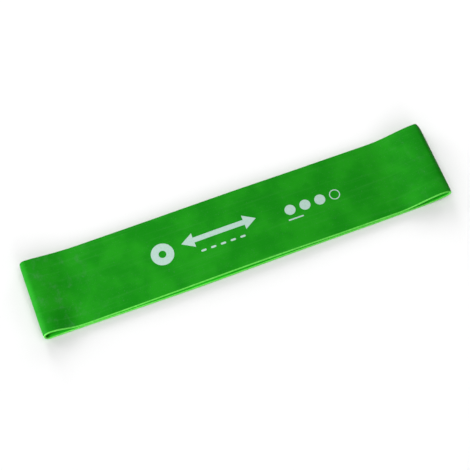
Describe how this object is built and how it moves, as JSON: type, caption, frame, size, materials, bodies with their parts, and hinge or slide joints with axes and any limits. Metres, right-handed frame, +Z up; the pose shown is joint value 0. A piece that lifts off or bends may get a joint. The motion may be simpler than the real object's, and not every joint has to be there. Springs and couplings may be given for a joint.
{
  "type": "resistance band loop",
  "caption": "Endless flat latex loop band lying folded flat, with teardrop folds at both ends and a printed resistance level; stretches lengthwise and opens.",
  "frame": {"origin": "middle of the band on the surface it lies on", "axes": "+X along the band, towards the level marks' end; +Y across the strip; +Z up from the surface"},
  "size_m": [0.266, 0.0514, 0.0089],
  "materials": {
    "latex": "satin natural latex, dyed green, faintly mottled",
    "ink": "thin matt pale print"
  },
  "bodies": {
    "lower_ply_left": {"lower_ply_left": "latex", "lower_bend_left": "latex"},
    "lower_ply_right": {"lower_ply_right": "latex", "lower_bend_right": "latex"},
    "lower_leg_left": {"lower_leg_left": "latex", "fold_left": "latex"},
    "lower_leg_right": {"lower_leg_right": "latex", "fold_right": "latex"},
    "upper_leg_left": {"upper_leg_left": "latex"},
    "upper_leg_right": {"upper_leg_right": "latex"},
    "upper_ply_left": {"upper_ply_left": "latex", "upper_bend_left": "latex", "print_plate": "ink", "print_stretch_arrow": "ink", "print_dash_1": "ink", "print_dash_2": "ink", "print_dash_3": "ink", "print_dash_4": "ink", "print_dash_5": "ink"},
    "upper_ply_right": {"upper_ply_right": "latex", "print_level_dot_1": "ink", "print_level_dot_2": "ink", "print_level_dot_3": "ink", "print_level_ring": "ink", "print_level_bar": "ink"},
    "upper_bend_right": {"upper_bend_right": "latex"}
  },
  "joints": [
    {"name": "stretch", "type": "slide", "parent": "lower_ply_left", "child": "lower_ply_right", "axis": [1, 0, 0], "range_m": [0, 0.266], "stiffness_N_per_m": 225, "deforming": ["lower_ply_left", "lower_ply_right"]},
    {"name": "lower_bend_left", "type": "hinge", "parent": "lower_ply_left", "child": "lower_leg_left", "pos_m": [-0.086, 0, 0.00285], "axis": [0, 1, 0], "range_deg": [0, 60], "deforming": ["lower_bend_left"]},
    {"name": "fold_left", "type": "hinge", "parent": "lower_leg_left", "child": "upper_leg_left", "pos_m": [-0.1292, 0, 0.0038], "axis": [0, -1, 0], "range_deg": [0, 120], "deforming": ["fold_left"]},
    {"name": "upper_bend_left", "type": "hinge", "parent": "upper_leg_left", "child": "upper_ply_left", "pos_m": [-0.086, 0, 0.00475], "axis": [0, 1, 0], "range_deg": [0, 60], "deforming": ["upper_bend_left"]},
    {"name": "lower_bend_right", "type": "hinge", "parent": "lower_ply_right", "child": "lower_leg_right", "pos_m": [0.086, 0, 0.00415], "axis": [0, -1, 0], "range_deg": [0, 60], "deforming": ["lower_bend_right"]},
    {"name": "fold_right", "type": "hinge", "parent": "lower_leg_right", "child": "upper_leg_right", "pos_m": [0.1292, 0, 0.0051], "axis": [0, 1, 0], "range_deg": [0, 120], "deforming": ["fold_right"]},
    {"name": "upper_bend_right", "type": "hinge", "parent": "upper_leg_right", "child": "upper_bend_right", "pos_m": [0.086, 0, 0.00605], "axis": [0, -1, 0], "range_deg": [0, 60], "deforming": ["upper_bend_right"]},
    {"name": "upper_stretch", "type": "slide", "parent": "upper_ply_left", "child": "upper_ply_right", "axis": [1, 0, 0], "range_m": [0, 0.266], "stiffness_N_per_m": 225, "deforming": ["upper_ply_left", "upper_ply_right"]}
  ],
  "couplings": [
    {"joint": "upper_stretch", "follows": "stretch", "ratio": 1},
    {"joint": "fold_left", "follows": "lower_bend_left", "ratio": 2},
    {"joint": "upper_bend_left", "follows": "lower_bend_left", "ratio": 1},
    {"joint": "lower_bend_right", "follows": "lower_bend_left", "ratio": 1},
    {"joint": "fold_right", "follows": "lower_bend_left", "ratio": 2},
    {"joint": "upper_bend_right", "follows": "lower_bend_left", "ratio": 1}
  ]
}
